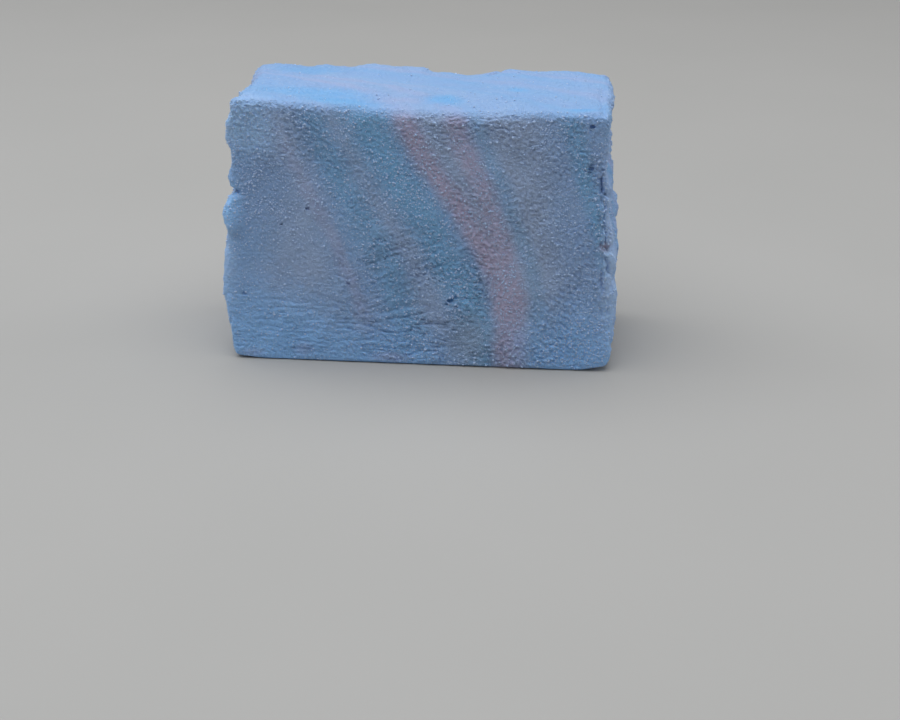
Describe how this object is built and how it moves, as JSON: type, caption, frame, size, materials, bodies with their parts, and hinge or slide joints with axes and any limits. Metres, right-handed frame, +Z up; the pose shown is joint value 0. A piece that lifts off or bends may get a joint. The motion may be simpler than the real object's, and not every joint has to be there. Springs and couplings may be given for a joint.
{
  "type": "marshmallow",
  "caption": "Hand-cut rectangular block of swirled marshmallow with soft edges and a starch-dusted skin, standing on its long cut side.",
  "frame": {"origin": "on the foot, under the middle of the block's outline", "axes": "+X along the longest side, +Y from the dusted front skin to the back skin through the slab's thickness, +Z up from the foot to the cut top"},
  "size_m": [0.0644, 0.0278, 0.0445],
  "materials": {
    "marshmallow_foam": "matte set foam, pale lavender blue with swirled ribbons of turquoise and pink, slightly translucent",
    "starch_dusting": "dry powdered sugar and starch in fine grains and small clumps"
  },
  "bodies": {
    "root": {"marshmallow": "marshmallow_foam"}
  },
  "joints": []
}
